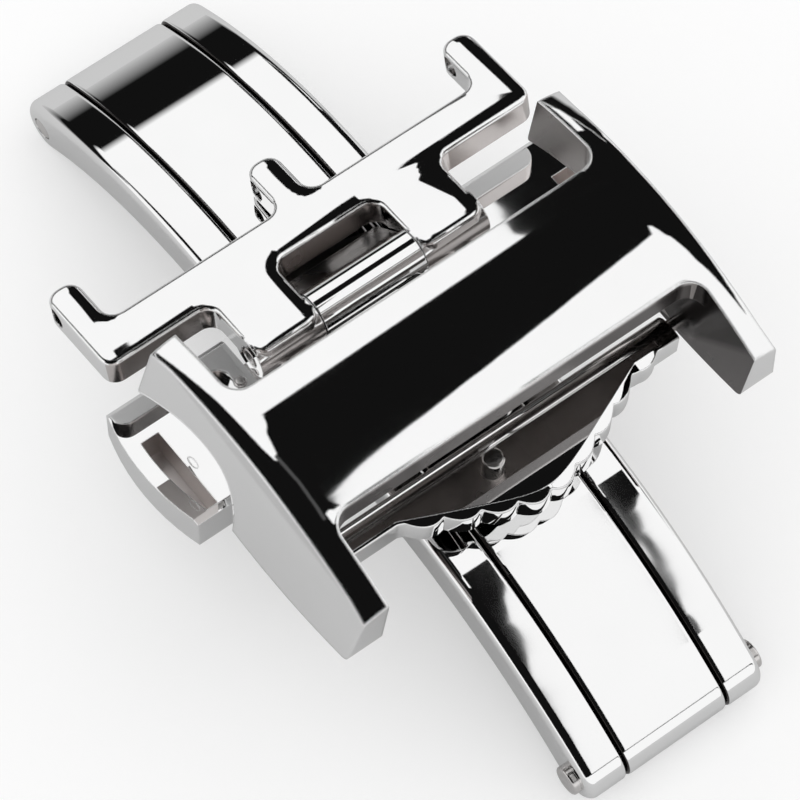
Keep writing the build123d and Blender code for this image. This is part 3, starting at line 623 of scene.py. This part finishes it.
# Tent of cards round the clasp, seen only in its reflections: they give the polished steel
# its dark bands. Each has its height and its outline, in metres.
BLACK, SEAM_GREY, WHITE = 0.006, 0.08, 1.0
black_paper = card_material("black_paper", BLACK)
white_paper = card_material("white_paper", WHITE)
grey_paper = card_material("grey_paper", SEAM_GREY)
backdrop_paper = card_material("backdrop_paper", BLACK)
feather(backdrop_paper, ((0.0, 0.3, 0.55, BLACK), (0.86, 0.96, BLACK, WHITE)))
TENT_TOP, GAP_TOP = 12.0, 11.9
BACKDROP_LEFT, BACKDROP_RIGHT, BACKDROP_Y, BACKDROP_TOP = -2.0, 3.6, 2.4, 0.96
tent_cards = {
    "tent_dark_left": (
        TENT_TOP,
        black_paper,
        (
            (-23.29, 41.46), (-13.68, 27.62), (-8.16, 16.04), (-5.07, 9.82), (-3.93, 6.34),
            (-3.35, 4.37), (-2.42, 3.28), (-1.41, 2.97), (-0.57, 3.69), (0.36, 4.52),
            (1.31, 5.16), (2.5, 5.6), (3.05, 0.35), (3.05, -0.67), (-0.14, -0.97),
            (-0.28, -1.46), (3.11, -1.49), (3.15, -0.78), (3.39, -0.82), (3.39, -1.56),
            (3.4, -2.57), (3.44, -3.61), (3.63, -5.74), (3.77, -7.02), (3.97, -8.4),
            (4.21, -9.92), (4.51, -11.6), (4.86, -13.61), (3.51, -13.42), (-4.79, -16.78),
            (-20.38, -25.82), (-46.47, -29.66), (-43.51, -8.37), (-27.2, 2.42),
            (-13.15, 4.38), (-15.3, 16.17),
        ),
    ),
    "tent_grey_seam": (
        GAP_TOP,
        grey_paper,
        (
            (-1.85, 3.34), (-0.99, 3.4), (-0.42, 1.39), (-0.62, -0.35), (-0.77, -1.11),
            (-1.68, -1.12), (-1.39, -0.14), (-1.19, 1.4), (-1.55, 2.46),
        ),
    ),
    "tent_dark_right": (
        TENT_TOP,
        black_paper,
        (
            (3.05, -0.18), (3.1, 0.11), (3.18, 0.32), (3.29, 0.54), (3.43, 0.71),
            (3.77, 1.21), (4.32, 2.16), (4.81, 2.77), (5.93, 2.74), (7.2, 2.5),
            (8.54, 2.02), (11.66, 1.67), (14.82, 0.36), (18.87, -0.2), (32.85, -5.2),
            (50.86, 24.12), (72.9, 42.06), (110.62, 96.79), (113.7, 187.27),
            (51.85, 141.42), (21.54, 81.12), (11.09, 33.41), (6.62, 14.92), (4.76, 8.49),
            (4.52, 6.74), (3.38, 6.3), (2.5, 5.6),
        ),
    ),
    "tent_dark_rail": (
        TENT_TOP,
        black_paper,
        (
            (3.7, -0.85), (3.72, -1.57), (3.78, -2.58), (3.86, -3.63), (4.1, -5.77),
            (4.28, -7.06), (4.51, -8.46), (4.81, -10.1), (4.83, -9.99), (4.54, -8.46),
            (4.32, -7.07), (4.14, -5.77), (3.9, -3.63), (3.84, -2.59), (3.87, -2.08),
            (4.01, -1.72), (4.3, -1.15), (4.37, -0.86),
        ),
    ),
    "tent_dark_front": (
        TENT_TOP,
        black_paper,
        (
            (-20.38, -25.82), (-4.47, -13.95), (5.43, -14.11), (17.09, -17.77),
            (62.18, -51.37), (20.64, -26.42), (6.29, -20.12), (-5.17, -19.84),
        ),
    ),
    "tent_light_gap": (
        GAP_TOP,
        white_paper,
        (
            (15.81, 17.59), (23.45, 32.83), (43.71, 50.16), (23.92, 21.77),
        ),
    ),
}
stage_cards = [
    plane(card_name, [(x, y, height) for x, y in corners], mat)
    for card_name, (height, mat, corners) in tent_cards.items()
]
backdrop_corners = (
    (BACKDROP_LEFT, BACKDROP_Y, 0),
    (BACKDROP_RIGHT, BACKDROP_Y, 0),
    (BACKDROP_RIGHT, BACKDROP_Y, BACKDROP_TOP),
    (BACKDROP_LEFT, BACKDROP_Y, BACKDROP_TOP),
)
stage_cards.append(plane("backdrop_dark", backdrop_corners, backdrop_paper))
for card in stage_cards:
    card.visible_camera = False
    card.visible_diffuse = False
    card.visible_shadow = False

FLOOR_GREY, FLOOR_HALF, FLOOR_BACK = 0.62, 2.5, 2.4


def floor_material():
    """White to the camera apart from the shadow, light grey to what reflects it."""
    mat, tree, surface = empty_material("floor")
    path = tree.nodes.new("ShaderNodeLightPath")
    paper = tree.nodes.new("ShaderNodeBsdfDiffuse")
    paper.inputs["Color"].default_value = (FLOOR_GREY, FLOOR_GREY, FLOOR_GREY, 1.0)
    white = tree.nodes.new("ShaderNodeEmission")
    lift = tree.nodes.new("ShaderNodeMath")
    lift.operation = "MULTIPLY"
    lift.inputs[1].default_value = 1.0 - FLOOR_GREY
    both = tree.nodes.new("ShaderNodeAddShader")
    tree.links.new(path.outputs["Is Camera Ray"], lift.inputs[0])
    tree.links.new(lift.outputs["Value"], white.inputs["Strength"])
    tree.links.new(paper.outputs["BSDF"], both.inputs[0])
    tree.links.new(white.outputs["Emission"], both.inputs[1])
    tree.links.new(both.outputs["Shader"], surface)
    return mat


floor_corners = (
    (-FLOOR_HALF, -FLOOR_HALF, 0),
    (FLOOR_HALF, -FLOOR_HALF, 0),
    (FLOOR_HALF, FLOOR_BACK, 0),
    (-FLOOR_HALF, FLOOR_BACK, 0),
)
plane("floor", floor_corners, floor_material())

world = bpy.data.worlds.new("studio")
scene.world = world
world.use_nodes = True
sky = world.node_tree.nodes["Background"]
sky.inputs["Color"].default_value = (1.0, 1.0, 1.0, 1.0)
sky.inputs["Strength"].default_value = 1.0

# Camera: its direction from the target, its distance in millimetres and its lens
AZIMUTH, ELEVATION, DISTANCE = math.radians(-36.53), math.radians(62.86), 198.25
TARGET_X, TARGET_Y = -1.587, -3.3
LENS, SENSOR, CLIP_START = 213.47, 36.0, 0.01
target = Vector((TARGET_X, TARGET_Y, BASE_TOP)) * MM
back = Vector(
    (
        math.sin(AZIMUTH) * math.cos(ELEVATION),
        -math.cos(AZIMUTH) * math.cos(ELEVATION),
        math.sin(ELEVATION),
    )
)
right = Vector((math.cos(AZIMUTH), math.sin(AZIMUTH), 0))
turned = Matrix((right, back.cross(right), back)).transposed().to_4x4()
camera_data = bpy.data.cameras.new("camera")
camera_data.lens = LENS
camera_data.sensor_width = SENSOR
camera_data.clip_start = CLIP_START
camera = bpy.data.objects.new("camera", camera_data)
scene.collection.objects.link(camera)
camera.matrix_world = Matrix.Translation(target + back * DISTANCE * MM) @ turned
scene.camera = camera

scene.view_settings.view_transform = "Standard"
